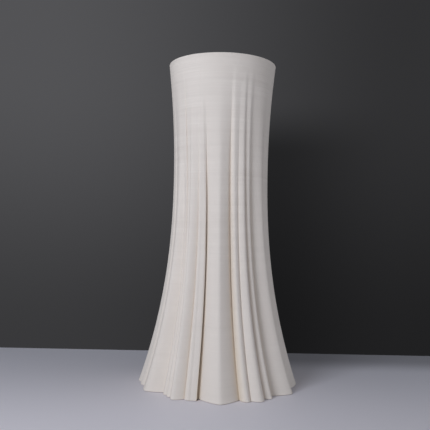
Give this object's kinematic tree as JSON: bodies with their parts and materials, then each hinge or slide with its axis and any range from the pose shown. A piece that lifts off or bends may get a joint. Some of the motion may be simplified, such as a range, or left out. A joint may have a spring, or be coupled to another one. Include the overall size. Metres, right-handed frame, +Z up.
{
  "type": "pleated floor vase",
  "caption": "Tall hollow vase with a round rim, a slim waist and a flared foot whose wall falls in vertical folds like hanging cloth.",
  "frame": {"origin": "centre of the foot, on the surface that the vase stands on", "axes": "+Z up along the vase's axis, -Y towards the front, which is the widest sharp fold; +X to the right seen from the front"},
  "size_m": [0.297, 0.317, 0.6],
  "materials": {
    "unglazed_ceramic": "matte cream-white printed clay, fired and left unglazed, with fine horizontal layer lines"
  },
  "bodies": {
    "root": {"vase_body": "unglazed_ceramic"}
  },
  "joints": []
}
